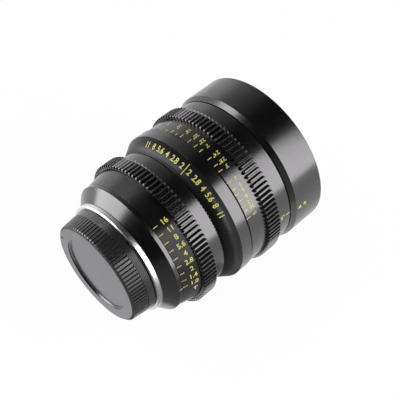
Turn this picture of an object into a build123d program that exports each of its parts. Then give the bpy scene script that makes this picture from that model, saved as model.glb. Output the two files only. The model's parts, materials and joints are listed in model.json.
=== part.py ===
"""Cinema prime lens: a fast full-manual lens with geared focus and aperture rings.

Units are millimetres. The optical axis is +Y, the front of the lens faces +Y and +Z is up.
The origin is the centre of the camera mount's flange face. Profiles are drawn as (radius, y)
and turned about the Y axis. Angles start at +Z and grow towards +X.
The lens is drawn wide open and focused at its nearest distance, with the rear cap on.
"""
import os
from math import cos, pi, radians, sin, tan

from build123d import *

# Fits and gaps
running_fit = 0.04
seat_fit = 0.02
joint_gap = 0.3
free_gap = 0.3
overrun = 1.0

# Camera mount
throat_radius = 19.0
mount_tube_wall = 1.9
mount_tube_length = 4.8
flange_width = 8.85
flange_thickness = 3.0
flange_edge = 0.45
claw_count = 3
claw_reach = 1.8
claw_thickness = 1.5
claw_setback = 2.6
claw_span = 44.0
claw_turn = 30.0
lock_pin_radius = 1.5
lock_pin_depth = 2.0
lock_pin_turn = 90.0
mount_screw_count = 4
mount_screw_turn = 22.5
mount_screw_inset = 2.85
mount_screw_shank = 0.8
mount_screw_head = 1.5
mount_screw_head_height = 1.1
mount_screw_length = 6.0

# Rear baffle in the mount's tube
baffle_seat_step = 0.6
baffle_thickness = 0.6
baffle_seat_depth = 1.2
baffle_side_margin = 5.0
baffle_top_margin = 9.0
baffle_window_corner = 2.0

# Rear housing: cone, index band and the seat of the guide tube
housing_step = 0.25
housing_rear_wall = 4.8
cone_length = 5.2
index_band_length = 1.9
index_band_wall = 1.8
housing_web = 5.0
rear_screw_count = 4
rear_screw_turn = 67.5
rear_screw_inset = 3.0
rear_screw_shank = 0.8
rear_screw_head = 1.4
rear_screw_head_height = 1.2
rear_screw_grip = 5.8

# Guide tube, the backbone, and the travel of the group that slides in it
guide_rise = 3.75
guide_wall = 1.96
guide_flange_length = 2.4
collar_height = 2.9
collar_length = 3.0
barrel_screw_count = 4
barrel_screw_turn = 10.0
barrel_screw_shank = 0.6
barrel_screw_head = 1.1
barrel_screw_head_height = 0.9
barrel_screw_length = 6.5
focus_travel = 5.0
focus_throw = 111.5

# Aperture ring
gear_module = 0.8
pressure_angle = 20.0
tooth_clearance_share = 1.25
aperture_pitch_rise = 5.3
aperture_rear_wall = 1.7
aperture_scale_rise = 2.1
aperture_scale_length = 9.9
aperture_gear_width = 7.3
aperture_band_wall = 3.0
aperture_band_length = 8.1
aperture_throw = 56.0

# Main barrel
lettered_band_length = 7.2
barrel_wall = 7.6
barrel_band_length = 6.5
barrel_edge = 0.3
barrel_relief_depth = 1.6
barrel_land = 2.2

# Focus ring
focus_pitch_rise = 8.1
focus_wall = 4.04
focus_scale_length = 10.2
focus_gear_width = 7.4
focus_skirt_length = 9.0
focus_lip_length = 2.6
focus_edge = 0.25
focus_screw_count = 3
focus_screw_turn = 60.0
focus_screw_shank = 0.6
focus_screw_head = 1.0
focus_screw_head_height = 0.9
focus_screw_length = 4.6

# Cam sleeve and its followers
sleeve_wall = 2.9
follower_count = 3
follower_turn = 0.0
follower_radius = 2.0
follower_station = 8.4
follower_shank = 1.0
follower_head = 1.5
follower_head_height = 0.5
follower_root = 2.2
follower_split = 0.1

# Front barrel
front_wall = 8.5
front_chamfer_depth = 1.4
front_chamfer_length = 2.6
front_length = 20.5
front_seat_length = 5.5
front_web = 1.6
hood_cone_step = 2.1
hood_wall = 3.9
filter_depth = 7.0
filter_step = 0.8
front_edge = 0.4

# Iris
blade_count = 9
stop_radius = 14.5
stop_margin = 0.1
blade_width = 7.9
blade_start = 12.0
blade_end = 100.0
blade_thickness = 0.12
blade_pitch = 0.2
blade_swing = 32.0
pivot_inset = 2.7
pivot_pin = 0.6
pivot_pin_depth = 0.95
pivot_pad = 1.4
drive_arm = 5.4
drive_arm_turn = 80.0
drive_pin = 0.5
drive_pad = 0.95
iris_air = 0.1
cam_ring_width = 6.9
cam_ring_thickness = 1.2
iris_step = 2.7
iris_wall = 1.3
iris_plate = 1.2
iris_cover_thickness = 1.0
iris_cover_margin = 2.5
iris_station = 24.0
slot_samples = 9

# Drive lever on the cam ring, and the fork that turns it
lever_width = 3.0
lever_turn = 200.0
fork_prong = 1.3
fork_air = 0.6
fork_overlap = 0.6
key_width = 12.0
key_base = 1.1
key_screw_shank = 0.5
key_screw_head = 0.9
key_screw_head_height = 0.5
key_screw_length = 1.9
key_screw_spacing = 9.0

# Group barrel and the glass in front of the iris
neck_length = 6.0
neck_margin = 2.1
neck_bore_length = 3.5
rear_seat_step = 1.4
rear_seat_length = 14.0
middle_seat_step = 4.0
middle_seat_length = 10.0
front_cell_wall = 3.5
ring_land = 1.4
relief_depth = 3.0
relief_margin = 1.5
bearing_land = 7.0
element_1_edge = 6.5
element_1_front_sag = 4.2
element_1_rear_sag = 3.2
element_2_edge = 7.0
element_2_front_sag = -2.2
element_2_rear_sag = 2.0
front_spacer_length = 8.0
element_3_edge = 4.2
element_3_front_sag = 3.4
element_3_rear_sag = 1.2
element_4_edge = 3.0
element_4_front_sag = 3.0
cement_sag = -0.6
element_5_edge = 5.2
element_5_rear_sag = 2.6
middle_ring_length = 2.6
rear_seat_ring_length = 2.6
front_ring_depth = 5.5
front_ring_lip = 2.0
front_ring_wall = 1.3

# Rear cell
rear_cell_gap = 0.7
rear_nose_gap = 0.7
rear_nose_wall = 1.3
rear_cell_flange = 2.0
rear_cell_length = 18.5
rear_nose_length = 6.5
rear_cell_shoulder = 1.6
rear_cell_step = 3.8
element_6_edge = 5.4
element_6_front_sag = -1.6
element_6_rear_sag = -1.4
rear_spacer_length = 3.0
element_7_edge = 3.6
element_7_front_sag = 0.9
element_7_rear_sag = -0.9
group_screw_count = 3
group_screw_turn = 20.0
group_screw_shank = 0.4
group_screw_head = 0.6
group_screw_head_height = 0.5
group_screw_engagement = 3.0

# Rear cap
cap_depth = 12.4
cap_air = 1.2
cap_draft = 2.3
cap_wall = 2.0
cap_collar_length = 3.8
cap_collar_taper = 0.6
cap_collar_edge = 0.3
cap_floor = 1.8
cap_gap = 0.15
cap_rib_taper = 0.8
cap_bevel_width = 1.2
cap_bevel_depth = 1.0
cap_groove_count = 90
cap_groove_depth = 0.75
cap_groove_share = 0.38
cap_relief_width = 0.35
cap_relief_depth = 0.3
cap_rim_width = 5.7
cap_dish_depth = 1.1
cap_dish_cove = 0.6
cap_dimple_radius = 0.8
cap_dimple_depth = 0.25
cap_dimple_inset = 1.5
cap_dimple_turn = -75.0
cap_lug_reach = 2.5
cap_lug_thickness = 1.2
cap_lug_span = 36.0

# Radii of the mount and the rear housing
mount_tube_radius = throat_radius + mount_tube_wall
claw_radius = mount_tube_radius + claw_reach
flange_radius = mount_tube_radius + flange_width
mount_screw_circle = flange_radius - mount_screw_inset
baffle_window_width = 2 * (throat_radius - baffle_side_margin)
baffle_window_height = 2 * (throat_radius - baffle_top_margin)
housing_rear_radius = flange_radius - housing_step
housing_bore = housing_rear_radius - housing_rear_wall
rear_screw_circle = housing_bore + rear_screw_inset

# Radii of the guide tube and of what turns or seats on it
guide_radius = flange_radius + guide_rise
guide_bore = guide_radius - guide_wall
guide_flange_bore = housing_bore + free_gap
collar_radius = guide_radius + collar_height
index_band_radius = guide_radius + index_band_wall
aperture_rear_radius = guide_radius + aperture_rear_wall
aperture_front_radius = aperture_rear_radius + aperture_scale_rise
aperture_band_radius = guide_radius + aperture_band_wall
aperture_teeth = round(2 * (guide_radius + aperture_pitch_rise) / gear_module)
barrel_radius = guide_radius + barrel_wall
sleeve_bore = guide_radius + running_fit
sleeve_radius = sleeve_bore + sleeve_wall
sleeve_screw_circle = (sleeve_bore + sleeve_radius) / 2
slot_half_width = follower_radius + running_fit
focus_radius = sleeve_radius + seat_fit + focus_wall
focus_teeth = round(2 * (guide_radius + focus_pitch_rise) / gear_module)
front_radius = guide_radius + front_wall
front_rear_radius = front_radius - front_chamfer_depth
filter_radius = front_radius - hood_wall

# Radii of the sliding optical group
group_radius = guide_bore - running_fit
front_cell_bore = group_radius - front_cell_wall
front_ring_mouth = group_radius - front_ring_wall
hood_cone_radius = group_radius + hood_cone_step
iris_radius = group_radius - iris_step
cam_ring_radius = iris_radius - iris_wall
cam_ring_bore = cam_ring_radius - cam_ring_width
group_screw_circle = (cam_ring_radius + iris_radius) / 2
pivot_circle = cam_ring_radius - pivot_inset
lever_radius = group_radius - free_gap
fork_inner_radius = iris_radius + fork_air
blade_inner_radius = stop_radius + stop_margin
iris_cover_bore = stop_radius + iris_cover_margin
neck_bore = stop_radius + neck_margin
rear_seat_bore = neck_bore + rear_seat_step
middle_cell_bore = rear_seat_bore + middle_seat_step
rear_cell_radius = housing_bore - rear_cell_gap
rear_nose_radius = throat_radius - rear_nose_gap
rear_cell_bore = rear_nose_radius - rear_nose_wall
rear_cell_opening = rear_cell_bore - rear_cell_shoulder

# Radii of the rear cap, which goes over the claws
cap_bore = claw_radius + cap_air
cap_mouth_bore = cap_bore + cap_draft
cap_mouth_radius = cap_mouth_bore + cap_wall
cap_rib_radius = cap_mouth_radius - cap_collar_taper
cap_rear_radius = cap_rib_radius - cap_rib_taper
cap_face_radius = cap_rear_radius - cap_bevel_width
cap_dish_radius = cap_face_radius - cap_rim_width

# Stations along the axis, from the camera end to the front
cone_end = flange_thickness + cone_length
housing_end = cone_end + index_band_length
guide_start = flange_thickness + housing_web
aperture_start = housing_end + joint_gap
aperture_gear_start = aperture_start + aperture_scale_length
aperture_gear_end = aperture_gear_start + aperture_gear_width
aperture_end = aperture_gear_end + aperture_band_length
barrel_start = aperture_end + joint_gap
lettered_end = barrel_start + lettered_band_length
barrel_end = lettered_end + barrel_band_length
focus_start = barrel_end + joint_gap
focus_gear_start = focus_start + focus_scale_length
focus_gear_end = focus_gear_start + focus_gear_width
focus_end = focus_gear_end + focus_skirt_length
sleeve_end = focus_end - focus_lip_length
front_start = focus_end + joint_gap
guide_end = front_start + front_seat_length
front_end = front_start + front_length
filter_start = front_end - filter_depth

# Stations inside the optical group, at the nearest focus
follower_y = sleeve_end - follower_station
blade_start_station = iris_station + iris_plate + iris_air
cam_ring_start = blade_start_station + blade_count * blade_pitch + iris_air
cam_ring_end = cam_ring_start + cam_ring_thickness
cover_start = cam_ring_end + iris_air
neck_start = cover_start + iris_cover_thickness
group_start = neck_start + neck_length
rear_seat_station = neck_start + neck_bore_length
middle_seat_station = rear_seat_station + rear_seat_length
front_seat_station = middle_seat_station + middle_seat_length
element_5_start = rear_seat_station
element_4_start = element_5_start + element_5_edge
element_4_end = element_4_start + element_4_edge
element_3_start = middle_seat_station
element_3_end = element_3_start + element_3_edge
element_2_start = front_seat_station
element_2_end = element_2_start + element_2_edge
element_1_start = element_2_end + front_spacer_length
element_1_end = element_1_start + element_1_edge
group_end = element_1_end + front_ring_depth
rear_cell_start = iris_station - rear_cell_length
element_6_end = iris_station - rear_cell_step
element_6_start = element_6_end - element_6_edge
element_7_end = element_6_start - rear_spacer_length
element_7_start = element_7_end - element_7_edge


def cross_plane(y):
    """A plane square to the optical axis, with local x along +Z and local y along +X."""
    return Plane(origin=(0, y, 0), x_dir=(0, 0, 1), z_dir=(0, 1, 0))


def turned(*points):
    """A solid turned about the optical axis from a closed outline of (radius, y) points."""
    return revolve(make_face(Polyline(*points, close=True)), Axis.Y)


def tube(outer, inner, start, end):
    """A plain tube along the optical axis."""
    return turned((inner, start), (outer, start), (outer, end), (inner, end))


def disc(radius, start, end):
    """A plain cylinder along the optical axis."""
    return extrude(cross_plane(start) * Circle(radius), end - start)


def about_axis(shape, angle):
    """The shape turned about the optical axis."""
    return Rot(0, angle, 0) * shape


def around(shape, count, first=0.0):
    """Copies of a shape, evenly spaced about the optical axis."""
    return [about_axis(shape, first + 360 * i / count) for i in range(count)]


def axial_pin(radius, circle, start, end):
    """A cylinder parallel to the axis, on the +Z side at a given circle radius."""
    return extrude(cross_plane(start) * Pos(circle, 0) * Circle(radius), end - start)


def radial_pin(radius, inner, outer, y):
    """A cylinder that points outwards along +Z, between two radii."""
    plane = Plane(origin=(0, y, inner), x_dir=(1, 0, 0), z_dir=(0, 0, 1))
    return extrude(plane * Circle(radius), outer - inner)


def headed_screw(shank, head, head_height, circle, head_face, length, toward):
    """An axial screw: its head starts at head_face and its shank runs toward +Y (1) or -Y (-1)."""
    neck = head_face + toward * head_height
    tip = head_face + toward * length
    head_part = axial_pin(head, circle, min(head_face, neck), max(head_face, neck))
    shank_part = axial_pin(shank, circle, min(neck, tip), max(neck, tip))
    return head_part + shank_part


def sector(radius, start_angle, end_angle, y0, y1):
    """A wedge about the axis between two angles, used to trim turned shapes."""
    steps = 4
    angles = [start_angle + (end_angle - start_angle) * i / steps for i in range(steps + 1)]
    reach = radius / cos(radians((end_angle - start_angle) / steps / 2))
    rim = [(reach * cos(radians(a)), reach * sin(radians(a))) for a in angles]
    return extrude(cross_plane(y0) * make_face(Polyline((0, 0), *rim, close=True)), y1 - y0)


def toothed_disc(teeth, start, width):
    """A spur gear blank with straight-flanked teeth of the module shared by both rings."""
    pitch_radius = gear_module * teeth / 2
    tip = pitch_radius + gear_module
    root = pitch_radius - tooth_clearance_share * gear_module
    slope = tan(radians(pressure_angle))
    half_pitch_tooth = pi * gear_module / 4
    half_tip = (half_pitch_tooth - gear_module * slope) / tip
    half_root = (half_pitch_tooth + (pitch_radius - root) * slope) / root
    outline = []
    for i in range(teeth):
        middle = 2 * pi * i / teeth
        for radius, angle in ((root, -half_root), (tip, -half_tip), (tip, half_tip), (root, half_root)):
            outline.append((radius * cos(middle + angle), radius * sin(middle + angle)))
    return extrude(cross_plane(start) * make_face(Polyline(*outline, close=True)), width)


def glass_arc(edge_radius, edge_y, sag):
    """Half of a spherical surface, from the axis to its edge. A positive sag bulges toward +Y."""
    sphere = (edge_radius ** 2 + sag ** 2) / (2 * abs(sag))
    middle = edge_radius / 2
    drop = sphere - (sphere ** 2 - middle ** 2) ** 0.5
    vertex = edge_y + sag
    way = 1 if sag > 0 else -1
    return ThreePointArc((0, vertex), (middle, vertex - way * drop), (edge_radius, edge_y))


def element(radius, rear_edge, front_edge, rear_sag, front_sag, rear_land=ring_land, front_land=ring_land):
    """A round glass element: two spherical surfaces, each with a flat ground land at its edge."""
    rear_clear = radius - rear_land
    front_clear = radius - front_land
    rim = [(radius, rear_edge), (radius, front_edge)]
    if rear_land:
        rim.insert(0, (rear_clear, rear_edge))
    if front_land:
        rim.append((front_clear, front_edge))
    core = Line((0, rear_edge + rear_sag), (0, front_edge + front_sag))
    rear = glass_arc(rear_clear, rear_edge, rear_sag)
    front = glass_arc(front_clear, front_edge, front_sag)
    return revolve(make_face(Curve() + [rear, Polyline(*rim), front, core]), Axis.Y)


def mount_ring():
    """Flange, tube and claws of the bayonet, bored for its screws, lock pin and baffle."""
    seat_radius = throat_radius + baffle_seat_step
    body = turned(
        (throat_radius, flange_thickness),
        (throat_radius, -mount_tube_length + baffle_seat_depth),
        (seat_radius, -mount_tube_length + baffle_seat_depth),
        (seat_radius, -mount_tube_length),
        (mount_tube_radius, -mount_tube_length),
        (mount_tube_radius, 0),
        (flange_radius - flange_edge, 0),
        (flange_radius, flange_edge),
        (flange_radius, flange_thickness - flange_edge),
        (flange_radius - flange_edge, flange_thickness),
    )
    claw_front = -claw_setback
    claw_rear = claw_front - claw_thickness
    claw_band = tube(claw_radius, mount_tube_radius - mount_tube_wall / 2, claw_rear, claw_front)
    claw = claw_band & sector(claw_radius, -claw_span / 2, claw_span / 2, claw_rear, claw_front)
    body += around(claw, claw_count, claw_turn)
    hole = axial_pin(mount_screw_shank, mount_screw_circle, -overrun, flange_thickness + overrun)
    sink = axial_pin(mount_screw_head + running_fit, mount_screw_circle, -overrun, mount_screw_head_height)
    body -= around(hole, mount_screw_count, mount_screw_turn)
    body -= around(sink, mount_screw_count, mount_screw_turn)
    lock_hole = axial_pin(lock_pin_radius, mount_screw_circle, -overrun, lock_pin_depth)
    return body - about_axis(lock_hole, lock_pin_turn)


def mount_screws():
    """Screws that hold the bayonet to the rear housing."""
    screw = headed_screw(
        mount_screw_shank, mount_screw_head, mount_screw_head_height,
        mount_screw_circle, 0, mount_screw_length, 1,
    )
    return Compound(children=around(screw, mount_screw_count, mount_screw_turn))


def rear_baffle():
    """Black plate with a rectangular window, which keeps stray light off the sensor."""
    start = -mount_tube_length + baffle_seat_depth - baffle_thickness
    radius = throat_radius + baffle_seat_step - seat_fit
    window = RectangleRounded(baffle_window_height, baffle_window_width, baffle_window_corner)
    plate = Circle(radius) - window
    return extrude(cross_plane(start) * plate, baffle_thickness)


def rear_housing():
    """Black cone behind the aperture ring, with the index band and a spigot for the guide tube."""
    body = turned(
        (housing_bore, flange_thickness),
        (housing_rear_radius, flange_thickness),
        (index_band_radius, cone_end),
        (index_band_radius, housing_end),
        (guide_radius + seat_fit, housing_end),
        (guide_radius + seat_fit, guide_start),
        (housing_bore, guide_start),
    )
    mount_hole = axial_pin(mount_screw_shank, mount_screw_circle, 0, mount_screw_length)
    body -= around(mount_hole, mount_screw_count, mount_screw_turn)
    hole = axial_pin(rear_screw_shank, rear_screw_circle, 0, guide_start + overrun)
    sink = axial_pin(
        rear_screw_head + running_fit, rear_screw_circle, 0, flange_thickness + rear_screw_head_height
    )
    body -= around(hole, rear_screw_count, rear_screw_turn)
    return body - around(sink, rear_screw_count, rear_screw_turn)


def rear_screws():
    """Screws that hold the rear housing to the guide tube."""
    screw = headed_screw(
        rear_screw_shank, rear_screw_head, rear_screw_head_height,
        rear_screw_circle, flange_thickness, rear_screw_grip, 1,
    )
    return Compound(children=around(screw, rear_screw_count, rear_screw_turn))


def guide_tube():
    """Backbone of the lens: straight slots for the followers and a window for the iris fork."""
    flange_end = guide_start + guide_flange_length
    collar_start = barrel_end - collar_length
    body = turned(
        (guide_flange_bore, guide_start),
        (guide_radius, guide_start),
        (guide_radius, collar_start),
        (collar_radius, collar_start),
        (collar_radius, barrel_end),
        (guide_radius, barrel_end),
        (guide_radius, guide_end),
        (guide_bore, guide_end),
        (guide_bore, flange_end),
        (guide_flange_bore, flange_end),
    )
    slot = Plane(origin=(0, follower_y - focus_travel / 2, 0), x_dir=(0, 1, 0), z_dir=(0, 0, 1)) * SlotCenterToCenter(
        focus_travel, 2 * slot_half_width
    )
    body -= around(extrude(slot, guide_radius + overrun), follower_count, follower_turn)
    rear_hole = axial_pin(rear_screw_shank, rear_screw_circle, 0, flange_thickness + rear_screw_grip)
    body -= around(rear_hole, rear_screw_count, rear_screw_turn)
    circle = (guide_radius + collar_radius) / 2
    barrel_hole = axial_pin(barrel_screw_shank, circle, collar_start - overrun, barrel_end)
    barrel_sink = axial_pin(
        barrel_screw_head + running_fit, circle, barrel_end - barrel_screw_head_height, barrel_end + overrun
    )
    body -= around(barrel_hole, barrel_screw_count, barrel_screw_turn)
    body -= around(barrel_sink, barrel_screw_count, barrel_screw_turn)
    return body - fork_window()


def fork_window():
    """Space that the fork sweeps through the guide tube's wall, with a little air all round."""
    start, end = fork_span()
    half = fork_half_angle() + air_angle()
    return sector(
        guide_radius + overrun, lever_turn - half, lever_turn + aperture_throw + half,
        start - free_gap, end + free_gap,
    ) & tube(guide_radius + overrun, fork_inner_radius - free_gap, start - overrun, end + overrun)


def fork_span():
    """Start and end of the fork's prongs, which follow the lever over the whole focus travel."""
    return cam_ring_start - focus_travel - fork_overlap, cam_ring_end + fork_overlap


def fork_half_angle():
    """Half the angle that the fork covers, seen from the axis at its inner radius."""
    half_width = lever_width / 2 + running_fit + fork_prong
    return half_width / fork_inner_radius * 180 / pi


def air_angle():
    """Angle of the free gap at the fork's inner radius."""
    return 2 * free_gap / fork_inner_radius * 180 / pi


def barrel_screws():
    """Screws through the guide tube's collar into the main barrel."""
    circle = (guide_radius + collar_radius) / 2
    screw = headed_screw(
        barrel_screw_shank, barrel_screw_head, barrel_screw_head_height,
        circle, barrel_end, barrel_screw_length, -1,
    )
    return Compound(children=around(screw, barrel_screw_count, barrel_screw_turn))


def main_barrel():
    """Fixed barrel: conical lettered band and a cylinder, seated on the guide tube and its collar."""
    seat = guide_radius + seat_fit
    collar_start = barrel_end - collar_length
    relief_start = barrel_start + barrel_land
    relief_end = collar_start - barrel_land
    body = turned(
        (seat, barrel_start),
        (aperture_band_radius, barrel_start),
        (barrel_radius, lettered_end),
        (barrel_radius, barrel_end - barrel_edge),
        (barrel_radius - barrel_edge, barrel_end),
        (collar_radius + seat_fit, barrel_end),
        (collar_radius + seat_fit, collar_start),
        (seat, collar_start),
        (seat, relief_end),
        (seat + barrel_relief_depth, relief_end),
        (seat + barrel_relief_depth, relief_start),
        (seat, relief_start),
    )
    circle = (guide_radius + collar_radius) / 2
    hole = axial_pin(barrel_screw_shank, circle, barrel_end - barrel_screw_length, barrel_end)
    return body - around(hole, barrel_screw_count, barrel_screw_turn)


def aperture_ring():
    """Aperture ring: tapered scale, gear and grip band, with a pocket inside for the key."""
    bore = guide_radius + running_fit
    rear = turned(
        (bore, aperture_start),
        (aperture_rear_radius, aperture_start),
        (aperture_front_radius, aperture_gear_start),
        (bore, aperture_gear_start),
    )
    band = tube(aperture_band_radius, bore, aperture_gear_end, aperture_end)
    gear = toothed_disc(aperture_teeth, aperture_gear_start, aperture_gear_width)
    gear -= disc(bore, aperture_gear_start - overrun, aperture_gear_end + overrun)
    body = rear + gear + band
    body -= key_base_block(seat_fit)
    return body - key_screw_set(0)


def key_base_block(extra):
    """The key's base, which lies in a pocket of the aperture ring's bore."""
    start, end = fork_span()
    inner = guide_radius + running_fit
    outer = inner + key_base + extra
    plane = Plane(origin=(0, start - extra, 0), x_dir=(1, 0, 0), z_dir=(0, 1, 0))
    slab = extrude(plane * Pos(0, -outer / 2) * Rectangle(key_width + 2 * extra, outer), end - start + 2 * extra)
    ring = tube(outer, inner, start - overrun, end + overrun)
    return about_axis(slab & ring, lever_turn)


def key_screw_set(extra):
    """The two screws that hold the key, with their shanks in the aperture ring."""
    start, end = fork_span()
    middle = (start + end) / 2
    inner = guide_radius + running_fit
    head = radial_pin(key_screw_head + extra, inner, inner + key_screw_head_height, middle)
    shank = radial_pin(key_screw_shank + extra, inner, inner + key_screw_length, middle)
    step = key_screw_spacing / 2 / inner * 180 / pi
    return [about_axis(head + shank, lever_turn + side * step) for side in (-1, 1)]


def aperture_key():
    """Fork that hangs from the aperture ring and turns the iris lever."""
    start, end = fork_span()
    inner = guide_radius + running_fit
    half_gap = lever_width / 2 + running_fit
    plane = Plane(origin=(0, start, 0), x_dir=(1, 0, 0), z_dir=(0, 1, 0))
    height = inner - fork_inner_radius + key_base / 2
    middle_z = fork_inner_radius + height / 2
    prongs = [
        extrude(
            plane * Pos(side * (half_gap + fork_prong / 2), -middle_z) * Rectangle(fork_prong, height),
            end - start,
        )
        for side in (-1, 1)
    ]
    body = key_base_block(0) + [about_axis(prong, lever_turn) for prong in prongs]
    return body - key_screw_set(0)


def key_screws():
    """Countersunk screws of the key."""
    return Compound(children=key_screw_set(0))


def focus_ring():
    """Focus ring: scale, gear and skirt, with an inner lip that is screwed to the cam sleeve."""
    seat = sleeve_radius + seat_fit
    lip = guide_radius + free_gap
    body = turned(
        (seat, focus_start),
        (focus_radius - focus_edge, focus_start),
        (focus_radius, focus_start + focus_edge),
        (focus_radius, focus_end - focus_edge),
        (focus_radius - focus_edge, focus_end),
        (lip, focus_end),
        (lip, sleeve_end),
        (seat, sleeve_end),
    )
    gear = toothed_disc(focus_teeth, focus_gear_start, focus_gear_width)
    gear -= disc(focus_radius - focus_edge, focus_gear_start - overrun, focus_gear_end + overrun)
    body += gear
    hole = axial_pin(focus_screw_shank, sleeve_screw_circle, sleeve_end - overrun, focus_end + overrun)
    sink = axial_pin(
        focus_screw_head + running_fit, sleeve_screw_circle, focus_end - focus_screw_head_height, focus_end + overrun
    )
    body -= around(hole, focus_screw_count, focus_screw_turn)
    return body - around(sink, focus_screw_count, focus_screw_turn)


def focus_screws():
    """Screws through the focus ring's lip into the cam sleeve."""
    screw = headed_screw(
        focus_screw_shank, focus_screw_head, focus_screw_head_height,
        sleeve_screw_circle, focus_end, focus_screw_length, -1,
    )
    return Compound(children=around(screw, focus_screw_count, focus_screw_turn))


def cam_slot():
    """One helical slot: as the sleeve turns by the focus throw, its follower moves by the travel."""
    lead = focus_travel * 360 / focus_throw
    middle = (sleeve_bore + sleeve_radius) / 2
    path = Helix(pitch=lead, height=focus_travel, radius=middle, lefthand=True)
    section = Plane(origin=path @ 0, x_dir=(1, 0, 0), z_dir=path % 0) * Rectangle(
        2 * sleeve_wall, 2 * slot_half_width
    )
    channel = sweep(section, path=path, is_frenet=True)
    low_end = follower_y - focus_travel
    turned_channel = Pos(0, low_end, 0) * Rot(-90, 0, 0) * channel
    low_angle = 90
    ends = [
        about_axis(radial_pin(slot_half_width, sleeve_bore - overrun, sleeve_radius + overrun, low_end), low_angle),
        about_axis(
            radial_pin(slot_half_width, sleeve_bore - overrun, sleeve_radius + overrun, follower_y),
            low_angle - focus_throw,
        ),
    ]
    return about_axis(turned_channel + ends, focus_throw - low_angle)


def cam_sleeve():
    """Turning sleeve under the focus ring, with one helical slot for each follower."""
    body = tube(sleeve_radius, sleeve_bore, focus_start, sleeve_end)
    body -= around(cam_slot(), follower_count, follower_turn)
    hole = axial_pin(focus_screw_shank, sleeve_screw_circle, focus_end - focus_screw_length, sleeve_end + overrun)
    return body - around(hole, focus_screw_count, focus_screw_turn)


def followers(inner, outer):
    """Brass sleeves on the follower screws, between two radii."""
    sleeve = radial_pin(follower_radius, inner, outer, follower_y)
    bore = radial_pin(follower_shank + seat_fit, inner - overrun, outer + overrun, follower_y)
    return Compound(children=around(sleeve - bore, follower_count, follower_turn))


def guide_followers():
    """Inner sleeves, which slide in the guide tube's straight slots."""
    return followers(group_radius, guide_radius - follower_split)


def cam_followers():
    """Outer sleeves, which slide in the cam sleeve's helical slots."""
    return followers(guide_radius - follower_split, sleeve_radius - follower_head_height - follower_split)


def follower_screws():
    """Screws that carry the followers on the group barrel."""
    head_base = sleeve_radius - follower_head_height - follower_split
    shank = radial_pin(follower_shank, group_radius - follower_root, head_base, follower_y)
    head = radial_pin(follower_head, head_base, head_base + follower_head_height, follower_y)
    return Compound(children=around(shank + head, follower_count, follower_turn))


def front_barrel():
    """Front barrel: rear chamfer, outer cylinder for a matte box, light baffle and filter thread bore."""
    web_end = guide_end + front_web
    body = turned(
        (guide_radius + seat_fit, front_start),
        (front_rear_radius, front_start),
        (front_radius, front_start + front_chamfer_length),
        (front_radius, front_end - front_edge),
        (front_radius - front_edge, front_end),
        (filter_radius + front_edge, front_end),
        (filter_radius, front_end - front_edge),
        (filter_radius, filter_start),
        (filter_radius - filter_step, filter_start),
        (hood_cone_radius, web_end),
        (group_radius + free_gap, web_end),
        (group_radius + free_gap, guide_end),
        (guide_radius + seat_fit, guide_end),
    )
    return body


def blade_outline():
    """Flat outline of one blade, with its pivot on the local x axis."""
    outer = blade_inner_radius + blade_width
    middle = (blade_inner_radius + outer) / 2
    steps = 4
    reach = 2 * outer
    angles = [blade_start + (blade_end - blade_start) * i / steps for i in range(steps + 1)]
    rim = [(reach * cos(radians(a)), reach * sin(radians(a))) for a in angles]
    wedge = make_face(Polyline((0, 0), *rim, close=True))
    band = (Circle(outer) - Circle(blade_inner_radius)) & wedge
    heel = polar_place(middle, blade_start) * Circle(blade_width / 2)
    tip = polar_place(middle, blade_end) * Circle(blade_width / 2)
    pads = [Pos(pivot_circle, 0) * Circle(pivot_pad), Pos(*drive_point(0)) * Circle(drive_pad)]
    tab = make_hull(pads[0].edges() + pads[1].edges() + heel.edges())
    return band + heel + tip + tab


def polar_place(radius, angle):
    """A location in the flat at a radius and angle."""
    return Pos(radius * cos(radians(angle)), radius * sin(radians(angle)))


def drive_point(swing):
    """Place of a blade's drive pin, in the flat, after the blade has swung about its pivot."""
    turn = radians(drive_arm_turn + swing)
    return pivot_circle + drive_arm * cos(turn), drive_arm * sin(turn)


def iris_blade(index):
    """One blade on its own level, with a pivot pin behind it and a drive pin in front."""
    rear = blade_start_station + index * blade_pitch
    front = rear + blade_thickness
    pin_root = iris_station + iris_plate - pivot_pin_depth
    leaf = extrude(cross_plane(rear) * blade_outline(), blade_thickness)
    pivot = axial_pin(pivot_pin, pivot_circle, pin_root, front)
    tip = cam_ring_end - iris_air
    drive = extrude(cross_plane(rear) * Pos(*drive_point(0)) * Circle(drive_pin), tip - rear)
    return about_axis(leaf + pivot + drive, 360 * index / blade_count)


def iris_housing():
    """Cup that holds the blades: pivot holes in its plate and a window in its wall for the lever."""
    bore = cam_ring_radius + running_fit
    body = turned(
        (stop_radius, iris_station),
        (iris_radius, iris_station),
        (iris_radius, cover_start),
        (bore, cover_start),
        (bore, iris_station + iris_plate),
        (stop_radius, iris_station + iris_plate),
    )
    hole = axial_pin(pivot_pin + running_fit, pivot_circle, iris_station - overrun, cover_start)
    body -= around(hole, blade_count)
    half = (lever_width / 2 + free_gap) / bore * 180 / pi
    window = sector(
        iris_radius + overrun, lever_turn - half, lever_turn + aperture_throw + half,
        cam_ring_start - iris_air, cover_start + overrun,
    ) & tube(iris_radius + overrun, bore - running_fit, cam_ring_start - overrun, cover_start + overrun)
    body -= window
    return body - group_screw_holes()


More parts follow.
